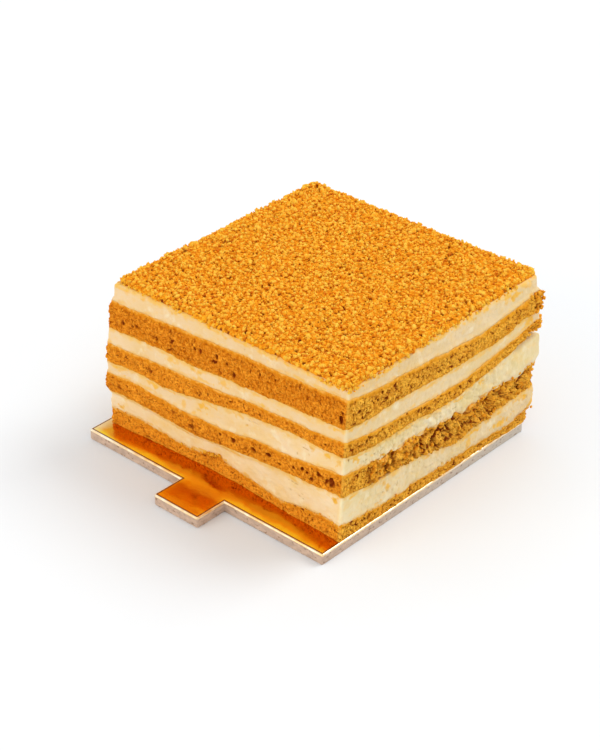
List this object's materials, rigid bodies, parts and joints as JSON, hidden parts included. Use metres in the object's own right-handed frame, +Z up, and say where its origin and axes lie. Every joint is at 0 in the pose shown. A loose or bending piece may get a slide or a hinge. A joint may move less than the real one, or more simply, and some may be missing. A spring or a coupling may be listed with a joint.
{
  "type": "medovik honey cake portion",
  "caption": "Square portion of layered honey cake with sponge, cream and a crumb topping, on its own gold pull-tab card.",
  "frame": {"origin": "middle of the card's underside, not counting the tab, where the part rests", "axes": "+Z up; the pull tab points to -Y; +X to the right when looking at the tab side"},
  "size_m": [0.0817, 0.0912, 0.047],
  "materials": {
    "gold_card": "gold foil on grey fibre board",
    "sponge": "baked honey sponge, matte and open-grained",
    "cream": "set sour cream filling, soft sheen",
    "crumb": "dry fine cake crumbs"
  },
  "bodies": {
    "root": {"gold_card": "gold_card", "sponge_1": "sponge", "cream_1": "cream", "sponge_2": "sponge", "cream_2": "cream", "sponge_3": "sponge", "cream_3": "cream", "sponge_4": "sponge", "cream_4": "cream", "crumb_topping": "crumb"}
  },
  "joints": []
}
